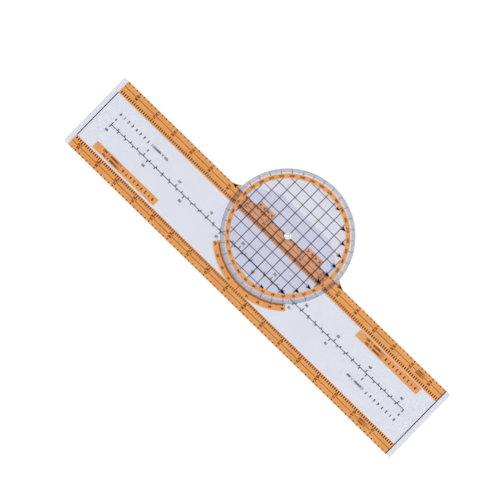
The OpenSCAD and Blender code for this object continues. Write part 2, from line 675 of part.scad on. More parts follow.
// The lines end square at the number ring, and open round the flange and the arrowheads
module grid_lines() color(dark) translate([0, 0, disc_print_z]) difference() {
    for (k = [-grid_n:grid_n]) {
        y = k * grid_pitch;
        x0 = north_tip_x(k) + north_head_l * (1 - notch);
        x1 = chord(abs(y) + arrow_line_w / 2, ring_in_r);
        half = chord(abs(y) + cross_line_w / 2, ring_in_r);
        translate([x0, y - arrow_line_w / 2, 0]) cube([x1 - x0, arrow_line_w, ink_t]);
        translate([y - cross_line_w / 2, -half, 0]) cube([cross_line_w, 2 * half, ink_t]);
    }
    translate([0, 0, -sliver]) {
        cylinder(r = disc_hub_r, h = ink_t + 2 * sliver);
        north_heads(ink_t + 2 * sliver);
    }
}

// Azimuths run clockwise from north, with the tops of the numerals outwards
module disc_numerals() color(dark) translate([0, 0, disc_mark_z])
    for (a = [0:number_step:360 - number_step])
        rotate([0, 0, 90 - a]) translate([0, (ring_in_r + ring_out_r) / 2, 0]) number(a, disc_digit_h);

base_plate();
pivot_band();
far_band();
pivot_label_panel();
far_label_panel();
tab_panels();
flare_panels();
arc_band();
end_lines();
pivot_outer_scale();
pivot_inner_scale();
far_outer_scale();
far_inner_scale();
band_mid_lines();
pivot_numerals();
far_numerals();
centre_scale();
centre_numerals();
centre_marks();
panel_marks();
course_arrow();
arc_ticks();
arc_numerals();
slip_washer();
backing_washer();
eyelet();
azimuth_disc();
number_ring();
degree_ticks();
grid_lines();
north_arrows();
disc_numerals();
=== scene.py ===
# Course plotter with a rotating azimuth disc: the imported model, dressed in clear sheet, printing and metal.
import math

import bmesh
import bpy
from mathutils import Matrix, Vector


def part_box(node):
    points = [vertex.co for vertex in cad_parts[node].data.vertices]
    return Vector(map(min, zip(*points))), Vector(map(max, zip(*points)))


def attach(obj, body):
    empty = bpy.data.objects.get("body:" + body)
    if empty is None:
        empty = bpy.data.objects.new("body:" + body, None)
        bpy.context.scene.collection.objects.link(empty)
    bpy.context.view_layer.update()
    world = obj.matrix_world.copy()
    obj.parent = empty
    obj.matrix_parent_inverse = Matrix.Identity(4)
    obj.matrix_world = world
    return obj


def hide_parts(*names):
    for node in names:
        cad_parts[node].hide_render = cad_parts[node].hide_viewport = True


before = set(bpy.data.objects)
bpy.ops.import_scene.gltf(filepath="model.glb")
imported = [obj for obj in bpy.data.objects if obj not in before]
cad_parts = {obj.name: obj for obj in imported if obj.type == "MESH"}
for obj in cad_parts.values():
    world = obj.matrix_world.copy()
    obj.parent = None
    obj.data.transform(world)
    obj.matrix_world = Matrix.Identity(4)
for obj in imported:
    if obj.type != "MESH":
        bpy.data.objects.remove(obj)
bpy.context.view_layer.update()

# Lengths here are millimetres, in the part's own frame: the origin on the eyelet's axis at the resting
# surface, +X along the ruler, +Y to its far edge. MM takes them to metres where a mesh is made.
MM = 0.001


def node_box(node):
    """The lowest and the highest corner of a CAD node, in millimetres."""
    low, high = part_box(node)
    return Vector(low) / MM, Vector(high) / MM


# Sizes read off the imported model
PLATE_HIGH = node_box("base_plate")[1]
PLATE_T = PLATE_HIGH.z
RULER_W = PLATE_HIGH.y
DISC_LOW, DISC_HIGH = node_box("azimuth_disc")
DISC_Z = DISC_LOW.z
DISC_TOP = DISC_HIGH.z
DISC_R = -DISC_LOW.y
RING_OUT_R = node_box("number_ring")[1].x
BAND_X0 = node_box("far_band")[0].x
BAND_X1 = node_box("far_band")[1].x
FAR_BAND_Y = node_box("far_band")[0].y
PIVOT_BAND_W = node_box("pivot_band")[1].y
COURSE_TIP_X = node_box("course_arrow")[1].x

# The sheets, the eyelet and the washers
RULER_EASE = 0.15
DISC_EASE = 0.12
DISC_BORE_R = 1.65
HOLE_R = 1.25
BARREL_R = 1.6
LIP_R = 2.2
LIP_T = 0.3
FLANGE_Z = 2.25
WASHER_BORE_R = 1.62
WASHER_EASE = 0.04
SLIP_R = 2.4
SLIP_SINK = 0.005         # how far the slip washer reaches into each sheet
BACKING_R = 2.6
BACKING_TOP = 0.503       # its height above the chart
DISC_SEGMENTS = 256
SMALL_SEGMENTS = 96       # the eyelet's and the washers'

# The ruler's printing
END_LINE_X = 160.95       # the end lines stand here and at -X, where the far scales start
PIVOT_MID_Y = 4.4
FAR_MID_Y = 59.05
ROW_OFFSET = 1.15         # from a band's middle line to the middle of a row of numerals
MID_LINE_GAP = 1.5        # half the gap in a middle line at each number
NUMBERED_STEPS = 5        # outer steps from one number to the next
PIVOT_NUMBERED = 8        # numbers on either side of the eyelet
FAR_NUMBERED = 17
PIVOT_RATIO_STEPS = 37.5  # outer steps from zero to a band's ratios
FAR_RATIO_STEPS = 7.5
PIVOT_INNER_INSET = 0.9   # from a band's edge, or the ruler's, to the feet of the marks
FAR_INNER_INSET = 0.3
FAR_OUTER_INSET = 0.05
CENTRE_Y = 31.4
CENTRE_NUMERAL_OFFSET = 5
HUB_CLEAR_R = 2.7         # printing on the ruler stays outside this
COURSE_HEAD_L = 5.0
COURSE_LINE_W = 0.45
COURSE_HEAD_GAP = 0.3     # between an arrowhead and the nearest mark

# The arc's printing
ARC_OUT_R = DISC_R + 5.4
ARC_SPAN = 40             # degrees of marks on either side of the arc's middle
ARC_LINE_SPAN = 41        # the line's
ARC_LINE_GAP = 0.35       # from the disc's edge to the arc's line
ARC_MIDDLE_L = 4.3        # the long mark in the middle
ARC_NUMERAL_INSET = 1.9   # from the arc's outer edge to the middle of its numerals

# The disc's printing
RING_W = 3.3
RING_IN_R = RING_OUT_R - RING_W
RING_EASE = 0.01
GRID_PITCH = 7.9375
GRID_N = 5                # grid lines on either side of the middle one
DISC_HUB_R = 2.8          # the middle lines stay outside this
NORTH_TIP_R = RING_IN_R + 0.3
NORTH_HEAD_L = 4.6
HEAD_NOTCH = 0.75         # from an arrowhead's tip to the notch in its back, as a share of its length
DEGREE_LINE_INSET = 0.25  # from the disc's edge to the line that the degree marks hang from
TEN_MARK_GAP = 0.05       # between a tenth degree's mark and the number ring

# Miles on the chart, in millimetres
NAUTICAL = 1852.0
STATUTE = 1609.344
OUTER_STEP = NAUTICAL / 500
INNER_STEP = NAUTICAL / 1000
CENTRE_STEP = NAUTICAL / 250
STATUTE_STEP = STATUTE / 250
CENTRE_MILES = 40
CENTRE_HALF = CENTRE_MILES / 2 * CENTRE_STEP
STATUTE_MILES = 45

# Marks: a plain one's length, every fifth's and every tenth's
MIDDLE_EVERY = 5
LONG_EVERY = 10
OUTER_LENGTHS = (1.2, 1.4, 1.6)
INNER_LENGTHS = (2.0, 2.2, 2.6)
CENTRE_LENGTHS = (1.4, 2.1, 2.1)
ARC_LENGTHS = (0.9, 1.3, 1.5)
DEGREE_LENGTHS = (2.4, 2.8, 2.8)
FOOT_OVERLAP = 0.02       # how far the centre marks reach into their line
ROW_END = 1               # room for the last mark of a centre row

# Widths of the printed lines
OUTER_MARK_W = 0.76
INNER_MARK_W = 0.82
MID_LINE_W = 0.34
CENTRE_MARK_W = 0.7
CENTRE_LINE_W = 0.5
ARC_MARK_W = 0.46
ARC_LINE_W = 0.3
DEGREE_MARK_W = 0.21
TEN_MARK_W = 0.42         # every tenth degree's
DEGREE_LINE_W = 0.1
ARROW_LINE_W = 0.46
CROSS_LINE_W = 0.56

# Heights of the numerals
BAND_SIZE = 1.9
CENTRE_SIZE = 2.0
ROUND_SIZE = 1.8          # on the disc and on the arc
COUNT_SIZE = 2.3
RATIO_SIZE = 1.8
BAND_RATIO_SIZE = 1.3

# Rows of counts and the ratios beside them
RATIO_GAP = 3.0
RATIO_ROW_OFFSET = 1.35
PANEL_PAD = 3.6
PANEL_COUNT = 8           # nautical miles
CENTRE_COUNT = 7          # kilometres
KILOMETRE_STEP = 4.0
CENTRE_LABEL_OFFSET = 10.0

# Layers of ink. Each reaches a little into what carries it.
INK_SINK = 0.012
INK_EDGE = 0.012          # the bevel round a coat's top
BASE_INK = 0.035
OVER_INK = 0.065
ORANGE_ON_PLATE = (PLATE_T - INK_SINK, PLATE_T + BASE_INK)
ORANGE_ON_DISC = (DISC_TOP - INK_SINK, DISC_TOP + BASE_INK)
ON_PLATE = (PLATE_T - INK_SINK, PLATE_T + OVER_INK)
ON_PLATE_ORANGE = (PLATE_T + BASE_INK - INK_SINK, PLATE_T + OVER_INK)
ON_DISC = (DISC_TOP - INK_SINK, DISC_TOP + OVER_INK)
ON_DISC_ORANGE = (DISC_TOP + BASE_INK - INK_SINK, DISC_TOP + OVER_INK)


class Tree:
    """Adds nodes to a shader tree or a geometry tree."""

    def __init__(self, tree):
        self.tree = tree

    def node(self, kind, settings=None, sockets=None):
        """A new node of this type, with its settings first and then the values or links of its sockets."""
        made = self.tree.nodes.new(kind)
        for key, value in (settings or {}).items():
            setattr(made, key, value)
        for key, value in (sockets or {}).items():
            if isinstance(value, (Field, list)):
                for field in value if isinstance(value, list) else [value]:
                    self.tree.links.new(field.socket, made.inputs[key])
            else:
                made.inputs[key].default_value = value
        return Outputs(self, made)


class Outputs:
    """The output sockets of one node, by name or number."""

    def __init__(self, tree, node):
        self.tree, self.node = tree, node

    def __getitem__(self, key):
        return Field(self.tree, self.node.outputs[key])


class Field:
    """One output socket. Arithmetic on it adds Math nodes."""

    def __init__(self, tree, socket):
        self.tree, self.socket = tree, socket

    def _math(self, operation, a, b=0.0):
        return self.tree.node("ShaderNodeMath", {"operation": operation}, {0: a, 1: b})["Value"]

    def __add__(self, other):
        return self._math("ADD", self, other)

    def __radd__(self, other):
        return self._math("ADD", other, self)

    def __sub__(self, other):
        return self._math("SUBTRACT", self, other)

    def __rsub__(self, other):
        return self._math("SUBTRACT", other, self)

    def __mul__(self, other):
        return self._math("MULTIPLY", self, other)

    def __rmul__(self, other):
        return self._math("MULTIPLY", other, self)

    def __truediv__(self, other):
        return self._math("DIVIDE", self, other)

    def __rtruediv__(self, other):
        return self._math("DIVIDE", other, self)

    def __mod__(self, other):
        return self._math("FLOORED_MODULO", self, other)

    def __lt__(self, other):
        return self._math("LESS_THAN", self, other)

    def __gt__(self, other):
        return self._math("GREATER_THAN", self, other)

    def __abs__(self):
        return self._math("ABSOLUTE", self)

    def sqrt(self):
        return self._math("SQRT", self)

    def sin(self):
        return self._math("SINE", self)

    def cos(self):
        return self._math("COSINE", self)


def parts(tree, place):
    """The X, Y and Z of a vector."""
    return tree.node("ShaderNodeSeparateXYZ", {}, {0: place})


def vector(tree, **xyz):
    """A vector of the X, Y and Z that are given. The others are 0."""
    return tree.node("ShaderNodeCombineXYZ", {}, xyz)["Vector"]


# Materials. The weights in them say how far each kind of mark changes the colour, the gloss or the bumps.
# Noise scales are per millimetre.

SHEET_IOR = 1.49
INK_IOR = 1.45
SCREEN_SCALE = 5.0
SCREEN_STRETCH = 0.05
SCREEN_TURN = 22          # degrees
HAIRLINES = ((17, 0.5, 0.012), (-52, 0.7, 0.009), (83, 0.4, 0.008))     # direction, scale and width


def to_linear(*srgb):
    """A colour as it looks on screen, from 0 to 255, as Blender's linear colour, by the sRGB curve."""
    return tuple(((c / 255 + 0.055) / 1.055) ** 2.4 for c in srgb) + (1.0,)


def dimmed(color, share):
    """A share of the colour's brightness."""
    return tuple(c * share for c in color[:3]) + (1.0,)


def paled(color, share):
    """The colour taken this share of the way to white."""
    return tuple(c + (1 - c) * share for c in color[:3]) + (1.0,)


def material(name, surface):
    """A material whose surface is what the function surface builds in its tree."""
    made = bpy.data.materials.new(name)
    made.use_nodes = True
    made.node_tree.nodes.clear()
    tree = Tree(made.node_tree)
    tree.node("ShaderNodeOutputMaterial", {}, {"Surface": surface(tree)})
    return made


def in_mm(tree):
    """Object coordinates in millimetres."""
    place = tree.node("ShaderNodeTexCoord")["Object"]
    return tree.node("ShaderNodeVectorMath", {"operation": "SCALE"}, {0: place, "Scale": 1 / MM})["Vector"]


def noise(tree, place, scale, detail, stretch=(1, 1, 1), turn=0.0):
    """Smooth noise from 0 to 1, stretched along a line at the angle turn."""
    spread = tree.node("ShaderNodeMapping", {}, {
        "Vector": place, "Rotation": (0, 0, math.radians(turn)), "Scale": stretch})["Vector"]
    return tree.node("ShaderNodeTexNoise", {}, {"Vector": spread, "Scale": scale, "Detail": detail})["Fac"]


def ring_noise(tree, radius, scale, detail):
    """Noise from 0 to 1 that changes with the radius alone."""
    return tree.node("ShaderNodeTexNoise", {"noise_dimensions": "1D"},
                     {"W": radius, "Scale": scale, "Detail": detail})["Fac"]


def between(tree, value, low, high):
    """0 below low, 1 above high and smooth between them."""
    return tree.node("ShaderNodeMapRange", {"interpolation_type": "SMOOTHSTEP"},
                     {"Value": value, "From Min": low, "From Max": high})["Result"]


def blend(tree, factor, a, b):
    """The colour a where factor is 0 and b where it is 1."""
    return tree.node("ShaderNodeMix", {"data_type": "RGBA"}, {0: factor, 6: a, 7: b})[2]


def bumped(tree, height, strength, depth):
    """Normals of a surface that rises by up to depth, in millimetres, where height is 1."""
    return tree.node("ShaderNodeBump", {}, {
        "Strength": strength, "Distance": depth * MM, "Height": height})["Normal"]


def principled(tree, **sockets):
    """The main shader. An underscore stands for a space."""
    return tree.node("ShaderNodeBsdfPrincipled", {}, {
        key.replace("_", " "): value for key, value in sockets.items()})["BSDF"]


def axis_radius(tree, place):
    """Distance from the eyelet's axis."""
    axis = parts(tree, place)
    return (axis["X"] * axis["X"] + axis["Y"] * axis["Y"]).sqrt()


def scratches(tree, place):
    """Fine hairlines in three directions, broken up along their length."""
    total = 0.0
    for turn, scale, width in HAIRLINES:
        line = noise(tree, place, scale, 1.0, (0.06, 1, 1), turn)
        run = between(tree, noise(tree, place, 0.05, 1.0, (1, 1, 1), turn), 0.5, 0.62)
        total = total + (abs(line - 0.5) < width) * run
    return total


def clear_sheet(name, tint, painted_edge_shade, lamp_tint, turned_wear):
    """Clear glossy sheet. Lamps shine through it, its sawn edges are rougher and carry a painted darker shade
    for the dark outline of a clear edge, and rub marks run round the pivot where it turns."""
    def surface(tree):
        place = in_mm(tree)
        smudge = between(tree, noise(tree, place, 0.045, 3.0), 0.48, 0.72)
        hairline = scratches(tree, place)
        rub = between(tree, ring_noise(tree, axis_radius(tree, place), 2.3, 3.0), 0.6, 0.68) * turned_wear
        level = abs(parts(tree, tree.node("ShaderNodeNewGeometry")["Normal"])["Z"])
        # painted shade: faces that lean, at the edges, are tinted darker; they are also made rougher
        sawn_edge_and_shade = 1 - between(tree, level, 0.3, 0.95)
        color = blend(tree, smudge * 0.3 + hairline * 0.4 + rub * 0.3, tint, dimmed(tint, 0.965))
        sheet = principled(
            tree, Base_Color=blend(tree, sawn_edge_and_shade, color, painted_edge_shade),
            Roughness=0.05 + smudge * 0.05 + hairline * 0.1 + rub * 0.06 + sawn_edge_and_shade * 0.22,
            Normal=bumped(tree, hairline * -1.0 + smudge * 0.15, 0.05, 0.02),
            IOR=SHEET_IOR, Transmission_Weight=1.0)
        open_to_lamps = tree.node("ShaderNodeBsdfTransparent", {}, {"Color": lamp_tint})["BSDF"]
        lamp = tree.node("ShaderNodeLightPath")["Is Shadow Ray"]
        return tree.node("ShaderNodeMixShader", {}, {0: lamp, 1: sheet, 2: open_to_lamps})["Shader"]
    return material(name, surface)


def ink(name, color, shade, gloss, mottle, glare):
    """Screen-printed ink: an even coat with a faint weave of the screen, thin spots and pinholes."""
    def surface(tree):
        place = in_mm(tree)
        cloud = noise(tree, place, 0.12, 4.0)
        grain = noise(tree, place, 6.0, 2.0)
        warp = noise(tree, place, SCREEN_SCALE, 0.0, (1, SCREEN_STRETCH, 1), SCREEN_TURN)
        weft = noise(tree, place, SCREEN_SCALE, 0.0, (SCREEN_STRETCH, 1, 1), SCREEN_TURN)
        pinhole = between(tree, noise(tree, place, 2.6, 1.0), 0.8, 0.84)
        cover = (cloud - 0.5) * mottle + (grain - 0.5) * mottle * 0.7 + 0.5
        coat = blend(tree, between(tree, cover, 0.2, 0.8), shade, color)
        return principled(
            tree, Base_Color=blend(tree, pinhole * 0.6, coat, paled(color, 0.35)),
            Roughness=gloss + (grain - 0.5) * 0.2 + (cloud - 0.5) * 0.15,
            Normal=bumped(tree, (warp + weft) / 2 + grain * 0.5 - pinhole, 0.25, 0.01),
            IOR=INK_IOR, Specular_IOR_Level=glare)
    return material(name, surface)


def turned_metal(name, color, shade, painted_shade_r):
    """Satin plated metal with fine turning marks round the eyelet's axis, dull patches, and painted shade
    inside the
    given radius: the bore's edge drawn dark, dull and not metallic, for the shadow in the hole."""
    def surface(tree):
        place = in_mm(tree)
        radius = axis_radius(tree, place)
        rings = ring_noise(tree, radius + parts(tree, place)["Z"] * 0.4, 16.0, 2.0)
        tarnish = between(tree, noise(tree, place, 1.1, 3.0), 0.45, 0.75)
        nick = between(tree, noise(tree, place, 4.0, 2.0), 0.7, 0.74)
        # painted shade: round the bore the plating turns dark, dull and not metallic, for the shadow in the
        # hole
        inside = 1 - between(tree, radius, painted_shade_r, painted_shade_r + 0.18)
        painted_bore_shade = inside * (0.7 + noise(tree, place, 1.6, 2.0) * 0.6)
        plating = blend(tree, tarnish * 0.7, color, shade)
        return principled(
            tree, Base_Color=blend(tree, painted_bore_shade, plating, dimmed(shade, 0.12)), Metallic=1 - painted_bore_shade,
            Roughness=0.36 + tarnish * 0.14 + (rings - 0.5) * 0.2 + painted_bore_shade * 0.2,
            Normal=bumped(tree, rings - nick, 0.35, 0.02))
    return material(name, surface)


def dull_plastic(name, color, shade):
    """White washer stock: matt, a little grubby."""
    def surface(tree):
        place = in_mm(tree)
        grime = between(tree, noise(tree, place, 0.9, 4.0), 0.45, 0.8)
        grain = noise(tree, place, 9.0, 2.0)
        return principled(
            tree, Base_Color=blend(tree, grime * 0.6, color, shade), Roughness=0.5 + grime * 0.2,
            Normal=bumped(tree, grain, 0.2, 0.01))
    return material(name, surface)


# painted shade for the sheets' edges
PAINTED_EDGE_SHADE = (0.66, 0.67, 0.72, 1)
RULER_SHEET = clear_sheet("ruler_sheet", (0.85, 0.875, 0.935, 1), PAINTED_EDGE_SHADE, (0.87, 0.83, 0.89, 1), 0.0)
DISC_SHEET = clear_sheet("disc_sheet", (0.865, 0.855, 0.897, 1), PAINTED_EDGE_SHADE, (0.77, 0.76, 0.98, 1), 1.0)
ORANGE = ink("orange_ink", to_linear(255, 181, 105), to_linear(247, 167, 92), 0.42, 1.0, 0.5)
DARK = ink("dark_ink", to_linear(6, 9, 34), to_linear(16, 18, 46), 0.4, 0.8, 0.03)
DARK_ON_ORANGE = ink("dark_ink_on_orange", to_linear(92, 2, 0), to_linear(106, 10, 2), 0.4, 0.8, 0.03)
DARK_ON_RING = ink("dark_ink_on_ring", to_linear(128, 26, 8), to_linear(142, 40, 18), 0.4, 0.8, 0.04)
# the last number is the radius of the painted shade round the bore
METAL = turned_metal("eyelet_metal", (0.9, 0.89, 0.88, 1), (0.76, 0.75, 0.74, 1), 1.45)
WASHER = dull_plastic("washer_white", to_linear(238, 238, 235), to_linear(214, 210, 200))


# Finishing and joining meshes. Edges sharper than these angles, in degrees, stay sharp.

SHEET_SHARP = 15
INK_SHARP = 20
TURNED_SHARP = 35
LEVEL_Z = 0.9999          # a face whose normal is this upright is level


def finished(name, mesh, surface, body, replaced):
    """An object for this mesh at the origin, with its material, its body and the nodes that it
    stands for."""
    made = bpy.data.objects.new(name, mesh)
    bpy.context.scene.collection.objects.link(made)
    made.data.materials.clear()
    made.data.materials.append(surface)
    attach(made, body)
    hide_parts(*replaced)


def to_mesh(bm, name, sharp):
    """The bmesh as a mesh, smooth but for sharp edges and level faces. Leaning normals on a level face would
    make dark patches in a clear sheet that is seen from low down."""
    bmesh.ops.triangulate(bm, faces=[f for f in bm.faces if len(f.verts) > 4])
    mesh = bpy.data.meshes.new(name)
    bm.to_mesh(mesh)
    bm.free()
    mesh.shade_smooth()
    mesh.set_sharp_from_angle(angle=math.radians(sharp))
    for face in mesh.polygons:
        face.use_smooth = abs(face.normal.z) < LEVEL_Z
    return mesh


def joined(name, meshes):
    """One mesh of several."""
    bm = bmesh.new()
    for mesh in meshes:
        bm.from_mesh(mesh)
    made = bpy.data.meshes.new(name)
    bm.to_mesh(made)
    bm.free()
    return made


def from_lists(name, points, faces):
    """A mesh of points in millimetres and faces."""
    mesh = bpy.data.meshes.new(name)
    mesh.from_pydata([Vector(p) * MM for p in points], [], faces)
    mesh.validate()
    return mesh


# Pieces that keep the outline of their CAD node

WELD = 1e-6               # metres
FLAT_ANGLE = 0.2          # degrees
RIM_Z = 0.9               # a top or a bottom has a normal more upright than this


def node_solid(node):
    """A bmesh of a CAD node with its loose triangles joined and its flat faces made whole."""
    bm = bmesh.new()
    bm.from_mesh(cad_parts[node].data)
    bmesh.ops.remove_doubles(bm, verts=bm.verts, dist=WELD)
    bmesh.ops.dissolve_limit(bm, angle_limit=math.radians(FLAT_ANGLE), verts=bm.verts, edges=bm.edges)
    return bm


def rim_edges(bm, upward):
    """The edges where a flat top or bottom meets the sides."""
    def flat(face):
        return face.normal.z > RIM_Z if upward else face.normal.z < -RIM_Z
    return [e for e in bm.edges if len(e.link_faces) == 2 and flat(e.link_faces[0]) != flat(e.link_faces[1])]


def ink_layer(node, heights, surface, body):
    """A thin coat with the outline of a CAD node's print, between two heights."""
    name = "printed_" + node
    bm = node_solid(node)
    z = [v.co.z for v in bm.verts]
    middle = (min(z) + max(z)) / 2
    for v in bm.verts:
        v.co.z = heights[v.co.z > middle] * MM
    bm.normal_update()
    bmesh.ops.bevel(bm, geom=rim_edges(bm, True), offset=INK_EDGE * MM, segments=1, affect="EDGES",
                    clamp_overlap=True)
    finished(name, to_mesh(bm, name, INK_SHARP), surface, body, [node])


def sheet_piece(name, node, surface, body, ease):
    """A clear sheet with the CAD node's outline and its edges eased."""
    bm = node_solid(node)
    edges = rim_edges(bm, True) + rim_edges(bm, False)
    bmesh.ops.bevel(bm, geom=list(set(edges)), offset=ease * MM, segments=2, profile=0.5, affect="EDGES",
                    clamp_overlap=True)
    finished(name, to_mesh(bm, name, SHEET_SHARP), surface, body, [node])


# Turned pieces

EASE_STEPS = 3
FLANGE_STEPS = 16
LIP_STEPS = 12
ROLL_STEP = 0.02          # from the barrel's ends to the rolls


def turned_piece(name, node, section, segments, surface, body):
    """A closed ring in place of a CAD node. Its section is a loop of (radius, height) points, given
    anticlockwise with the radius to the right."""
    bm = bmesh.new()
    rings = []
    for i in range(segments):
        angle = 2 * math.pi * i / segments
        rings.append([bm.verts.new(Vector((r * math.cos(angle), r * math.sin(angle), z)) * MM)
                      for r, z in section])
    for a, b in zip(rings, rings[1:] + rings[:1]):
        for k in range(len(section)):
            j = (k + 1) % len(section)
            bm.faces.new((a[k], b[k], b[j], a[j]))
    bm.normal_update()
    finished(name, to_mesh(bm, name, TURNED_SHARP), surface, body, [node])


def arc_points(centre, radii, start, end, steps):
    """Points of an ellipse's arc, from the angle start to the angle end in degrees."""
    angles = [math.radians(start + (end - start) * i / steps) for i in range(steps + 1)]
    return [(centre[0] + radii[0] * math.cos(a), centre[1] + radii[1] * math.sin(a)) for a in angles]


def eased_section(inner, outer, low, high, ease):
    """A rectangular section with its corners rounded."""
    corners = ((outer - ease, low + ease), (outer - ease, high - ease), (inner + ease, high - ease),
               (inner + ease, low + ease))
    section = []
    for start, corner in zip((-90, 0, 90, 180), corners):
        section += arc_points(corner, (ease, ease), start, start + 90, EASE_STEPS)
    return section


def eyelet_section():
    """The eyelet's flange is rolled over the disc, and its lip is rolled out under the ruler."""
    low, high = node_box("eyelet")
    flange = arc_points(((high.x + HOLE_R) / 2, FLANGE_Z), ((high.x - HOLE_R) / 2, high.z - FLANGE_Z),
                        0, 180, FLANGE_STEPS)
    lip = arc_points(((LIP_R + HOLE_R) / 2, LIP_T), ((LIP_R - HOLE_R) / 2, LIP_T - low.z),
                     180, 360, LIP_STEPS)
    return lip + [(BARREL_R, LIP_T + ROLL_STEP), (BARREL_R, FLANGE_Z - ROLL_STEP)] + flange


# Printed lines and flat shapes

def bent_line(name, radius, width, start, end, heights):
    """A printed line that follows a circle round the eyelet's axis from one angle to another in degrees."""
    points, faces = [], []
    inner, outer = radius - width / 2, radius + width / 2
    corners = [(inner, heights[0]), (outer, heights[0]), (outer, heights[1]), (inner, heights[1])]
    steps = round(abs(end - start))
    for i in range(steps + 1):
        a = math.radians(start + (end - start) * i / steps)
        points += [(r * math.cos(a), r * math.sin(a), z) for r, z in corners]
        if i:
            here, before = 4 * i, 4 * i - 4
            faces += [(before + k, here + k, here + (k + 1) % 4, before + (k + 1) % 4) for k in range(4)]
    faces += [(0, 1, 2, 3), tuple(4 * steps + k for k in (3, 2, 1, 0))]
    return from_lists(name, points, faces)


def prisms(name, outlines, heights):
    """Flat shapes with these outlines, given anticlockwise, between two heights."""
    points, faces = [], []
    for outline in outlines:
        first, n = len(points), len(outline)
        points += [(x, y, heights[0]) for x, y in outline] + [(x, y, heights[1]) for x, y in outline]
        faces += [tuple(first + n + k for k in range(n)), tuple(first + k for k in reversed(range(n)))]
        faces += [(first + k, first + (k + 1) % n, first + n + (k + 1) % n, first + n + k) for k in range(n)]
    return from_lists(name, points, faces)


# Marks made by Geometry Nodes

MARK_SLOPE = 0.12         # how much narrower a mark's top is, as a share of its width


def geometry_tree(name, inputs, build):
    """A node group with these named inputs, which ends in what build makes of them, realized and coated."""
    group = bpy.data.node_groups.new(name, "GeometryNodeTree")
    for label, kind in inputs.items():
        group.interface.new_socket(label, in_out="INPUT", socket_type="NodeSocket" + kind)
    group.interface.new_socket("Material", in_out="INPUT", socket_type="NodeSocketMaterial")
    group.interface.new_socket("Marks", in_out="OUTPUT", socket_type="NodeSocketGeometry")
    tree = Tree(group)
    sizes = tree.node("NodeGroupInput")
    marks = tree.node("GeometryNodeRealizeInstances", {}, {"Geometry": build(tree, sizes)})["Geometry"]
    coated = tree.node("GeometryNodeSetMaterial", {}, {"Geometry": marks, "Material": sizes["Material"]})
    tree.node("NodeGroupOutput", {}, {0: coated["Geometry"]})
    return group


def grown(name, group, surface, **values):
    """The plain mesh that a node group makes with these values. An underscore stands for a space."""
    holder = bpy.data.objects.new(name, bpy.data.meshes.new(name))
    bpy.context.scene.collection.objects.link(holder)
    modifier = holder.modifiers.new(name, "NODES")
    modifier.node_group = group
    sizes = {key.replace("_", " "): value for key, value in values.items()}
    for item in group.interface.items_tree:
        if item.name in sizes:
            modifier[item.identifier] = sizes[item.name]
        elif item.name == "Material":
            modifier[item.identifier] = surface
    mesh = bpy.data.meshes.new_from_object(holder.evaluated_get(bpy.context.evaluated_depsgraph_get()))
    bpy.data.objects.remove(holder)
    return mesh


def mark_bars(tree, points, turn, width, length, base, top, selection=None):
    """A bar on each point, turned from +Y by turn. Its sides slope in a little towards its top."""
    cube = tree.node("GeometryNodeMeshCube")["Mesh"]
    corner = parts(tree, tree.node("GeometryNodeInputPosition")["Position"])
    slope = 1 - (corner["Z"] > 0.0) * MARK_SLOPE
    shape = vector(tree, X=corner["X"] * slope, Y=corner["Y"] + 0.5, Z=corner["Z"] + 0.5)
    bar = tree.node("GeometryNodeSetPosition", {}, {"Geometry": cube, "Position": shape})["Geometry"]
    turned = tree.node("FunctionNodeEulerToRotation", {}, {"Euler": vector(tree, Z=turn)})["Rotation"]
    size = vector(tree, X=width * MM, Y=length * MM, Z=(top - base) * MM)
    sockets = {"Points": points, "Instance": bar, "Scale": size, "Rotation": turned}
    if selection is not None:
        sockets["Selection"] = selection
    return tree.node("GeometryNodeInstanceOnPoints", {}, sockets)["Instances"]


def points_at(tree, count, x, y, z):
    """Points at places in millimetres that depend on each point's index."""
    line = tree.node("GeometryNodeMeshLine", {}, {"Count": count})["Mesh"]
    place = vector(tree, X=x * MM, Y=y * MM, Z=z * MM)
    return tree.node("GeometryNodeSetPosition", {}, {"Geometry": line, "Position": place})["Geometry"]


def stepped_length(sizes, number):
    """The length of the mark with this number: some stand out, and some of these more than others."""
    middle = (number % sizes["Middle every"]) < 0.5
    long = (number % sizes["Long every"]) < 0.5
    length = sizes["Short"] + middle * (sizes["Middle"] - sizes["Short"])
    return length + long * (sizes["Long"] - sizes["Middle"])


def straight_marks(tree, sizes):
    """Marks along X. Mark 0 would stand at Zero, and all of them stand on the line Y."""
    number = tree.node("GeometryNodeInputIndex")["Index"] + sizes["First"]
    x = sizes["Zero"] + number * sizes["Step"]
    points = points_at(tree, sizes["Count"], x, sizes["Y"], sizes["Base"])
    return mark_bars(tree, points, sizes["Turn"], sizes["Width"], stepped_length(sizes, number),
                     sizes["Base"], sizes["Top"])


def round_marks(tree, sizes):
    """Marks round the eyelet's axis, with their feet on the circle Radius. Steps are in radians."""
    number = tree.node("GeometryNodeInputIndex")["Index"] + sizes["First"]
    angle = sizes["Zero"] + number * sizes["Step"]
    points = points_at(tree, sizes["Count"], sizes["Radius"] * angle.cos(), sizes["Radius"] * angle.sin(),
                       sizes["Base"])
    return mark_bars(tree, points, angle + sizes["Turn"], sizes["Width"], stepped_length(sizes, number),
                     sizes["Base"], sizes["Top"])


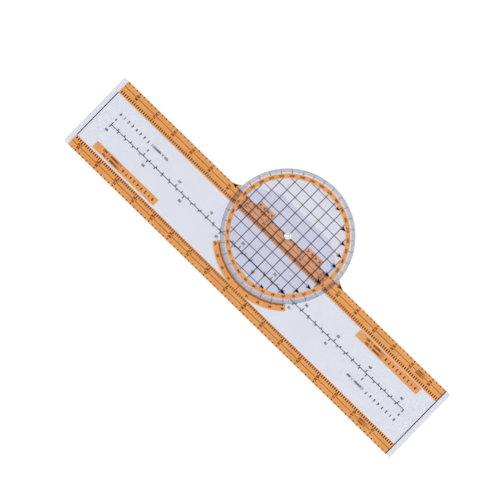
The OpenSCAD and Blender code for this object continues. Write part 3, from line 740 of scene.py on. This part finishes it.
def grid_bars(tree, sizes):
    """Parallel lines across a circle, Lines of them on either side of the middle one, which is open round
    the hub. One end of each can stop short of the circle Tip radius, for an arrowhead."""
    number = tree.node("GeometryNodeInputIndex")["Index"] - sizes["Lines"]
    across = number * sizes["Step"]
    edge = abs(across) + sizes["Width"] / 2
    end = (sizes["Radius"] * sizes["Radius"] - edge * edge).sqrt()
    tip = (sizes["Tip radius"] * sizes["Tip radius"] - across * across).sqrt() - sizes["Tip cut"]
    middle = abs(number) < 0.5
    start = middle * sizes["Hub"] - (1 - middle) * tip
    count = sizes["Lines"] * 2 + 1
    upper = points_at(tree, count, across, start, sizes["Base"])
    lower = points_at(tree, count, across, 0 - sizes["Hub"], sizes["Base"])
    return tree.node("GeometryNodeJoinGeometry", {}, {"Geometry": [
        mark_bars(tree, upper, 0.0, sizes["Width"], end - start, sizes["Base"], sizes["Top"]),
        mark_bars(tree, lower, math.pi, sizes["Width"], tip - sizes["Hub"], sizes["Base"], sizes["Top"],
                  middle)]})["Geometry"]


MARK_INPUTS = {"Count": "Int", "First": "Int", "Step": "Float", "Zero": "Float", "Short": "Float",
               "Middle": "Float", "Long": "Float", "Middle every": "Int", "Long every": "Int",
               "Width": "Float", "Base": "Float", "Top": "Float", "Turn": "Float"}
STRAIGHT_MARKS = geometry_tree("straight_marks", {**MARK_INPUTS, "Y": "Float"}, straight_marks)
ROUND_MARKS = geometry_tree("round_marks", {**MARK_INPUTS, "Radius": "Float"}, round_marks)
GRID_BARS = geometry_tree("grid_bars", {
    "Lines": "Int", "Step": "Float", "Width": "Float", "Radius": "Float", "Tip radius": "Float",
    "Tip cut": "Float", "Hub": "Float", "Base": "Float", "Top": "Float"}, grid_bars)


def mark_sizes(lengths, width, heights):
    """The inputs that give marks their shape. The lengths are a plain one's, a fifth's and a tenth's."""
    short, middle, long = lengths
    return {"Short": short, "Middle": middle, "Long": long, "Middle_every": MIDDLE_EVERY,
            "Long_every": LONG_EVERY, "Width": width, "Base": heights[0], "Top": heights[1]}


def mark_row(x0, x1, zero, step, y, upward, lengths, width, heights):
    """Marks on a straight line between x0 and x1, which reach towards +Y where upward is true."""
    first = math.ceil((x0 + width / 2 - zero) / step)
    last = math.floor((x1 - width / 2 - zero) / step)
    return grown("marks", STRAIGHT_MARKS, DARK, Count=last - first + 1, First=first, Step=step, Zero=zero,
                 Y=y, Turn=0.0 if upward else math.pi, **mark_sizes(lengths, width, heights))


def mark_circle(start, end, step, radius, outward, lengths, width, heights):
    """Marks at every step of degrees from start to end, with their feet on a circle."""
    return grown("marks", ROUND_MARKS, DARK, Count=round((end - start) / step) + 1, First=round(start / step),
                 Step=math.radians(step), Zero=math.pi / 2, Radius=radius,
                 Turn=-math.pi / 2 if outward else math.pi / 2, **mark_sizes(lengths, width, heights))


def grid_mesh(width, tip_r, tip_cut):
    """The disc's parallel lines along Y."""
    return grown("lines", GRID_BARS, DARK, Lines=GRID_N, Step=GRID_PITCH, Width=width, Radius=RING_IN_R,
                 Tip_radius=tip_r, Tip_cut=tip_cut, Hub=DISC_HUB_R, Base=ON_DISC[0], Top=ON_DISC[1])


# Numerals, made once each from the plain built-in face

DIGIT_CELL = 0.66         # from one numeral to the next, as a share of its height
DIGIT_SQUEEZE = 0.9
DIGIT_WEIGHT = 0.05       # how far the outlines are moved out
DIGIT_STEPS = 3           # steps in each curve of an outline


def glyph(character):
    """Points and faces of one character as the built-in face has it, one unit thick."""
    curve = bpy.data.curves.new("glyph", "FONT")
    curve.body = character
    curve.resolution_u = DIGIT_STEPS
    curve.extrude = 0.5
    curve.offset = DIGIT_WEIGHT
    curve.align_x = "CENTER"
    holder = bpy.data.objects.new("glyph", curve)
    bpy.context.scene.collection.objects.link(holder)
    mesh = bpy.data.meshes.new_from_object(holder.evaluated_get(bpy.context.evaluated_depsgraph_get()))
    bpy.data.objects.remove(holder)
    return [v.co.copy() for v in mesh.vertices], [tuple(p.vertices) for p in mesh.polygons]


GLYPHS = {character: glyph(character) for character in "0123456789/."}
FACE_FOOT = min(p.y for p in GLYPHS["0"][0])
FACE_HEIGHT = max(p.y for p in GLYPHS["0"][0]) - FACE_FOOT


def numeral_mesh(name, numbers, heights):
    """Numbers as thin solids between two heights. Each is (text, x, y, size, turn, mirrored), with its
    middle at x and y, its turn in degrees, and mirrored for one that is read from the back."""
    points, faces = [], []
    for text, x, y, size, turn, mirrored in numbers:
        flip = -1 if mirrored else 1
        place = Matrix.Translation((x, y, heights[0])) @ Matrix.Rotation(math.radians(turn), 4, "Z")
        for i, character in enumerate(text):
            if character == " ":
                continue
            along = (i - (len(text) - 1) / 2) * DIGIT_CELL
            first = len(points)
            for p in GLYPHS[character][0]:
                unit_x = p.x / FACE_HEIGHT * DIGIT_SQUEEZE + along
                unit_y = (p.y - FACE_FOOT) / FACE_HEIGHT - 0.5
                points.append(place @ Vector((flip * unit_x * size, unit_y * size,
                                              (p.z + 0.5) * (heights[1] - heights[0]))))
            for face in GLYPHS[character][1]:
                faces.append([first + k for k in (reversed(face) if mirrored else face)])
    return from_lists(name, points, faces)


def upright(text, x, y, size):
    """A number that reads towards +X."""
    return str(text), x, y, size, 0.0, False


def counts_and_ratios(x, y, side, step, last, rows):
    """Counts one step apart from zero at x, then rows of (height, text). On the side -1 they run towards -X
    and are mirrored."""
    for i in range(last + 1):
        yield str(i), x + side * i * step, y, COUNT_SIZE, 0.0, side < 0
    for height, text in rows:
        middle = last * step + RATIO_GAP + len(text) / 2 * DIGIT_CELL * RATIO_SIZE
        yield text, x + side * middle, y + height, RATIO_SIZE, 0.0, side < 0


# What the numbers are

def pivot_numbers():
    """The pivot scales count both ways from the eyelet, by tens and by fives."""
    for side in (-1, 1):
        for i in range(1, PIVOT_NUMBERED + 1):
            x = side * i * NUMBERED_STEPS * OUTER_STEP
            yield upright(10 * i, x, PIVOT_MID_Y + ROW_OFFSET, BAND_SIZE)
            yield upright(5 * i, x, PIVOT_MID_Y - ROW_OFFSET, BAND_SIZE)
    x = -PIVOT_RATIO_STEPS * OUTER_STEP
    yield upright("1/1000000", x, PIVOT_MID_Y + ROW_OFFSET, BAND_RATIO_SIZE)
    yield upright("1/500000", x, PIVOT_MID_Y - ROW_OFFSET, BAND_RATIO_SIZE)


def far_numbers():
    """The far scales count from the end line at -X."""
    for i in range(1, FAR_NUMBERED + 1):
        x = -END_LINE_X + i * NUMBERED_STEPS * OUTER_STEP
        yield upright(5 * i, x, FAR_MID_Y + ROW_OFFSET, BAND_SIZE)
        yield upright(10 * i, x, FAR_MID_Y - ROW_OFFSET, BAND_SIZE)
    x = -END_LINE_X + FAR_RATIO_STEPS * OUTER_STEP
    yield upright("1/500000", x, FAR_MID_Y + ROW_OFFSET, BAND_RATIO_SIZE)
    yield upright("1/1000000", x, FAR_MID_Y - ROW_OFFSET, BAND_RATIO_SIZE)


def centre_numbers():
    """Nautical miles count towards +X above the line. Statute miles count back below it, mirrored."""
    for miles in range(0, CENTRE_MILES + 1, 5):
        x = -CENTRE_HALF + miles * CENTRE_STEP
        yield upright(miles, x, CENTRE_Y + CENTRE_NUMERAL_OFFSET, CENTRE_SIZE)
    for miles in range(0, STATUTE_MILES + 1, 5):
        x = CENTRE_HALF - miles * STATUTE_STEP
        yield str(miles), x, CENTRE_Y - CENTRE_NUMERAL_OFFSET, CENTRE_SIZE, 0.0, True


def centre_labels():
    """Kilometres from the zero end of each row, the row's ratio, and one mile on it in millimetres."""
    for side, text in ((1, "1/250000 7.408"), (-1, "1/250000 6.437")):
        yield from counts_and_ratios(-side * CENTRE_HALF, CENTRE_Y + side * CENTRE_LABEL_OFFSET, side,
                                     KILOMETRE_STEP, CENTRE_COUNT, [(0, text)])


def panel_labels():
    """Nautical miles, the ratios of the two edge scales, and one mile on each in millimetres."""
    rows = [(RATIO_ROW_OFFSET, "1/500000 3.704"), (-RATIO_ROW_OFFSET, "1/1000000 1.852")]
    for node in ("pivot_label_panel", "far_label_panel"):
        low, high = node_box(node)
        yield from counts_and_ratios(low.x + PANEL_PAD, (low.y + high.y) / 2, 1, OUTER_STEP, PANEL_COUNT,
                                     rows)


def middle_line(zero, numbered, y):
    """Pieces of a band's middle line, which is open at the places with these numbers."""
    stops = [zero + i * NUMBERED_STEPS * OUTER_STEP for i in numbered]
    starts = [BAND_X0] + [x + MID_LINE_GAP for x in stops]
    for start, end in zip(starts, [x - MID_LINE_GAP for x in stops] + [BAND_X1]):
        low, high = y - MID_LINE_W / 2, y + MID_LINE_W / 2
        yield [(start, low), (end, low), (end, high), (start, high)]


DARTS = 4                 # on each of the tab's panels
DARTS_X = 16.6            # where the first one's place starts
DART_L = 2.4
DART_HALF_W = 1.2


def tab_darts():
    """Small arrowheads on the tab's panels, which point away from the eyelet."""
    low, high = node_box("tab_panels")
    pitch, y = (high.x - DARTS_X) / DARTS, (low.y + high.y) / 2
    for side in (-1, 1):
        for i in range(DARTS):
            tip = DARTS_X + (i + 0.5) * pitch + DART_L / 2
            back, notch = tip - DART_L, tip - HEAD_NOTCH * DART_L
            shape = [(tip, 0), (back, DART_HALF_W), (notch, DART_HALF_W / 3), (notch, -DART_HALF_W / 3),
                     (back, -DART_HALF_W)]
            yield [(side * x, y + dy) for x, dy in (shape if side > 0 else reversed(shape))]


def arc_numbers():
    """Degrees count both ways from the arc's middle, with the tops of the numerals outwards."""
    radius = ARC_OUT_R - ARC_NUMERAL_INSET
    for degrees in range(10, ARC_SPAN + 1, 10):
        for side in (-1, 1):
            a = math.radians(90 + side * degrees)
            yield str(degrees), radius * math.cos(a), radius * math.sin(a), ROUND_SIZE, side * degrees, False


def disc_numbers():
    """Azimuths run clockwise from north at -X, with the tops of the numerals outwards."""
    radius = (RING_IN_R + RING_OUT_R) / 2
    for degrees in range(0, 360, 10):
        a = math.radians(180 - degrees)
        yield str(degrees), radius * math.cos(a), radius * math.sin(a), ROUND_SIZE, 90 - degrees, False


# Stage, light and camera

FLOOR_HALF = 3.0                        # metres
FLOOR_DROP = 0.05                       # how far the floor is below the plotter
FLOOR_PAPER = (0.9, 0.9, 0.9, 1)
FLOOR_WHITE = (0.93, 0.94, 0.975, 1)
FLOOR_GLOW = 0.93                       # where the floor is seen, also through a sheet or in metal
FLOOR_GLOW_TO_CAMERA = 0.3              # added where the camera sees it
FLOOR_GLOW_SHARE = 0.8                  # the rest shows the plotter's shadow
SKY_LIGHT = 0.34
SKY_SHOWN = 0.5                         # added where the sky is seen, also through a sheet or in metal
SKY_SHOWN_TO_CAMERA = 0.16              # added where the camera sees it
# Each lamp's name, its place and width in metres, and its power in watts
LAMPS = (("key", (-1.3, -1.0, 1.7), 1.1, 24.0), ("fill", (1.5, 0.9, 1.5), 1.3, 11.5))
LAMP_TARGET = (0, 0.03, 0)
PHOTO_PX = 500
FRAME_W = 362.6                         # what the photo's width spans at the plotter
PIVOT_PX = (287.7, 236.2)
PHOTO_TURN = 44.3                       # degrees from the ruler's length to the photo's level
CAMERA_HEIGHT = 1500.0
SENSOR_W = 36.0


def shown_backdrop(tree):
    """Two switches. The first is 1 for the camera's rays, and for those that reach the backdrop by way of
    metal or clear sheet alone. The second is 1 for the camera's rays."""
    rays = tree.node("ShaderNodeLightPath")
    shown = (rays["Is Camera Ray"] + rays["Is Glossy Ray"] + rays["Is Transmission Ray"]) > 0.5
    return shown * (rays["Diffuse Depth"] < 0.5), rays["Is Camera Ray"]


def add_floor():
    """A pale floor just below the plotter."""
    bm = bmesh.new()
    bmesh.ops.create_grid(bm, x_segments=1, y_segments=1, size=FLOOR_HALF)
    mesh = bpy.data.meshes.new("floor")
    bm.to_mesh(mesh)
    bm.free()
    floor = bpy.data.objects.new("floor", mesh)
    floor.location.z = -FLOOR_DROP * MM
    bpy.context.scene.collection.objects.link(floor)

    def surface(tree):
        shown, camera = shown_backdrop(tree)
        paper = tree.node("ShaderNodeBsdfDiffuse", {}, {"Color": FLOOR_PAPER})["BSDF"]
        white = tree.node("ShaderNodeEmission", {}, {
            "Color": FLOOR_WHITE, "Strength": FLOOR_GLOW + camera * FLOOR_GLOW_TO_CAMERA})["Emission"]
        return tree.node("ShaderNodeMixShader", {}, {
            0: shown * FLOOR_GLOW_SHARE, 1: paper, 2: white})["Shader"]
    mesh.materials.append(material("floor", surface))


def add_light():
    """A pale sky and two soft lamps."""
    world = bpy.data.worlds.new("studio")
    bpy.context.scene.world = world
    world.use_nodes = True
    world.node_tree.nodes.clear()
    tree = Tree(world.node_tree)
    shown, camera = shown_backdrop(tree)
    sky = tree.node("ShaderNodeBackground", {}, {
        "Color": (1, 1, 1, 1), "Strength": SKY_LIGHT + shown * SKY_SHOWN + camera * SKY_SHOWN_TO_CAMERA})
    tree.node("ShaderNodeOutputWorld", {}, {"Surface": sky["Background"]})
    for name, place, width, power in LAMPS:
        lamp = bpy.data.lights.new(name, "AREA")
        lamp.shape = "DISK"
        lamp.size = width
        lamp.energy = power
        made = bpy.data.objects.new(name, lamp)
        made.location = place
        made.rotation_euler = (Vector(LAMP_TARGET) - made.location).to_track_quat("-Z", "Y").to_euler()
        # Its light comes through the sheets as shadow rays, and only once
        made.visible_transmission = False
        bpy.context.scene.collection.objects.link(made)


def add_camera():
    """The photo's view, square from above."""
    data = bpy.data.cameras.new("camera")
    data.sensor_width = SENSOR_W
    data.lens = SENSOR_W * (CAMERA_HEIGHT - DISC_TOP) / FRAME_W
    camera = bpy.data.objects.new("camera", data)
    turn = math.radians(180 + PHOTO_TURN)
    camera.rotation_euler = (0, 0, turn)
    per_px = FRAME_W / PHOTO_PX
    right = Vector((math.cos(turn), math.sin(turn), 0))
    up = Vector((-math.sin(turn), math.cos(turn), 0))
    middle = -(right * (PIVOT_PX[0] - PHOTO_PX / 2) + up * (PHOTO_PX / 2 - PIVOT_PX[1])) * per_px
    camera.location = (middle + Vector((0, 0, CAMERA_HEIGHT))) * MM
    bpy.context.scene.collection.objects.link(camera)
    bpy.context.scene.camera = camera


add_floor()
add_light()
add_camera()
bpy.context.scene.view_settings.view_transform = "Standard"


# The two sheets and what holds them

sheet_piece("ruler_sheet", "base_plate", RULER_SHEET, "ruler", RULER_EASE)
turned_piece("disc_sheet", "azimuth_disc", eased_section(DISC_BORE_R, DISC_R, DISC_Z, DISC_TOP, DISC_EASE),
             DISC_SEGMENTS, DISC_SHEET, "disc")
turned_piece("eyelet_rivet", "eyelet", eyelet_section(), SMALL_SEGMENTS, METAL, "ruler")
turned_piece("slip_ring", "slip_washer",
             eased_section(WASHER_BORE_R, SLIP_R, PLATE_T - SLIP_SINK, DISC_Z + SLIP_SINK, WASHER_EASE),
             SMALL_SEGMENTS, WASHER, "ruler")
turned_piece("backing_ring", "backing_washer",
             eased_section(WASHER_BORE_R, BACKING_R, LIP_T, BACKING_TOP, WASHER_EASE),
             SMALL_SEGMENTS, METAL, "ruler")


# Orange ink

for node in ("pivot_band", "far_band", "pivot_label_panel", "far_label_panel", "tab_panels", "flare_panels",
             "arc_band"):
    ink_layer(node, ORANGE_ON_PLATE, ORANGE, "ruler")
turned_piece("printed_number_ring", "number_ring",
             eased_section(RING_IN_R, RING_OUT_R, *ORANGE_ON_DISC, RING_EASE),
             DISC_SEGMENTS, ORANGE, "disc")


# Dark ink on the ruler

def printed(body, node, surface, *meshes):
    """Dark printing made of these meshes, in place of a CAD node."""
    finished("printed_" + node, joined(node, meshes), surface, body, [node])


for node in ("end_lines", "course_arrow"):
    ink_layer(node, ON_PLATE, DARK, "ruler")

OUTER_SIZES = (OUTER_STEP, OUTER_LENGTHS, OUTER_MARK_W)
INNER_SIZES = (INNER_STEP, INNER_LENGTHS, INNER_MARK_W)
outer_x = COURSE_TIP_X + COURSE_HEAD_GAP
neck_x = COURSE_TIP_X - COURSE_HEAD_L - COURSE_HEAD_GAP
printed("ruler", "pivot_outer_scale", DARK_ON_ORANGE, *[
    mark_row(x0, x1, 0, OUTER_STEP, y, True, OUTER_LENGTHS, OUTER_MARK_W, ON_PLATE_ORANGE)
    for x0, x1, y in ((BAND_X0, -outer_x, 0), (outer_x, BAND_X1, 0),
                      (-neck_x, -HUB_CLEAR_R, COURSE_LINE_W / 2), (HUB_CLEAR_R, neck_x, COURSE_LINE_W / 2))])
for node, zero, y, upward, sizes in (
        ("pivot_inner_scale", 0, PIVOT_BAND_W - PIVOT_INNER_INSET, False, INNER_SIZES),
        ("far_outer_scale", -END_LINE_X, RULER_W - FAR_OUTER_INSET, False, OUTER_SIZES),
        ("far_inner_scale", -END_LINE_X, FAR_BAND_Y + FAR_INNER_INSET, True, INNER_SIZES)):
    step, lengths, width = sizes
    printed("ruler", node, DARK_ON_ORANGE,
            mark_row(BAND_X0, BAND_X1, zero, step, y, upward, lengths, width, ON_PLATE_ORANGE))

centre_foot = CENTRE_LINE_W / 2
centre_end = CENTRE_HALF + CENTRE_MARK_W / 2
printed("ruler", "centre_scale", DARK,
        mark_row(-CENTRE_HALF - ROW_END, CENTRE_HALF + ROW_END, -CENTRE_HALF, CENTRE_STEP,
                 CENTRE_Y + centre_foot - FOOT_OVERLAP, True, CENTRE_LENGTHS, CENTRE_MARK_W, ON_PLATE),
        mark_row(CENTRE_HALF - STATUTE_MILES * STATUTE_STEP - ROW_END, CENTRE_HALF + ROW_END, CENTRE_HALF,
                 STATUTE_STEP, CENTRE_Y - centre_foot + FOOT_OVERLAP, False, CENTRE_LENGTHS, CENTRE_MARK_W,
                 ON_PLATE),
        grown("line", STRAIGHT_MARKS, DARK, Count=1, First=0, Step=1.0, Zero=centre_end, Y=CENTRE_Y,
              Turn=math.pi / 2, **mark_sizes((0.0, 0.0, 2 * centre_end), CENTRE_LINE_W, ON_PLATE)))

arc_line_r = DISC_R + ARC_LINE_GAP + ARC_LINE_W / 2
printed("ruler", "arc_ticks", DARK_ON_ORANGE,
        bent_line("line", arc_line_r, ARC_LINE_W, 90 - ARC_LINE_SPAN, 90 + ARC_LINE_SPAN, ON_PLATE_ORANGE),
        mark_circle(-ARC_SPAN, ARC_SPAN, 1, arc_line_r, True, ARC_LENGTHS, ARC_MARK_W, ON_PLATE_ORANGE),
        mark_circle(0, 0, 1, arc_line_r, True, [ARC_MIDDLE_L] * 3, ARC_MARK_W, ON_PLATE_ORANGE))

for node, numbers in (("pivot_numerals", pivot_numbers()), ("far_numerals", far_numbers()),
                      ("arc_numerals", arc_numbers())):
    printed("ruler", node, DARK_ON_ORANGE, numeral_mesh(node, numbers, ON_PLATE_ORANGE))
for node, numbers in (("centre_numerals", centre_numbers()), ("centre_marks", centre_labels())):
    printed("ruler", node, DARK, numeral_mesh(node, numbers, ON_PLATE))
printed("ruler", "band_mid_lines", DARK_ON_ORANGE, prisms("middle_lines", [
    *middle_line(0, [i for i in range(-PIVOT_NUMBERED, PIVOT_NUMBERED + 1) if i], PIVOT_MID_Y),
    *middle_line(-END_LINE_X, range(1, FAR_NUMBERED + 1), FAR_MID_Y)], ON_PLATE_ORANGE))
printed("ruler", "panel_marks", DARK_ON_ORANGE, numeral_mesh("panel_marks", panel_labels(), ON_PLATE_ORANGE),
        prisms("tab_darts", tab_darts(), ON_PLATE_ORANGE))


# Dark ink on the disc

degree_line_r = DISC_R - DEGREE_LINE_INSET
ten_mark_l = degree_line_r - RING_OUT_R - TEN_MARK_GAP
printed("disc", "degree_ticks", DARK,
        bent_line("line", degree_line_r, DEGREE_LINE_W, 0, 360, ON_DISC),
        mark_circle(0, 359, 1, degree_line_r, False, DEGREE_LENGTHS, DEGREE_MARK_W, ON_DISC),
        mark_circle(0, 350, 10, degree_line_r, False, [ten_mark_l] * 3, TEN_MARK_W, ON_DISC))
across = grid_mesh(CROSS_LINE_W, RING_IN_R, 0.0)
along = grid_mesh(ARROW_LINE_W, NORTH_TIP_R, NORTH_HEAD_L * HEAD_NOTCH)
along.transform(Matrix.Rotation(-math.pi / 2, 4, "Z"))
printed("disc", "grid_lines", DARK, across, along)
ink_layer("north_arrows", ON_DISC, DARK, "disc")
printed("disc", "disc_numerals", DARK_ON_RING, numeral_mesh("disc_numerals", disc_numbers(), ON_DISC_ORANGE))
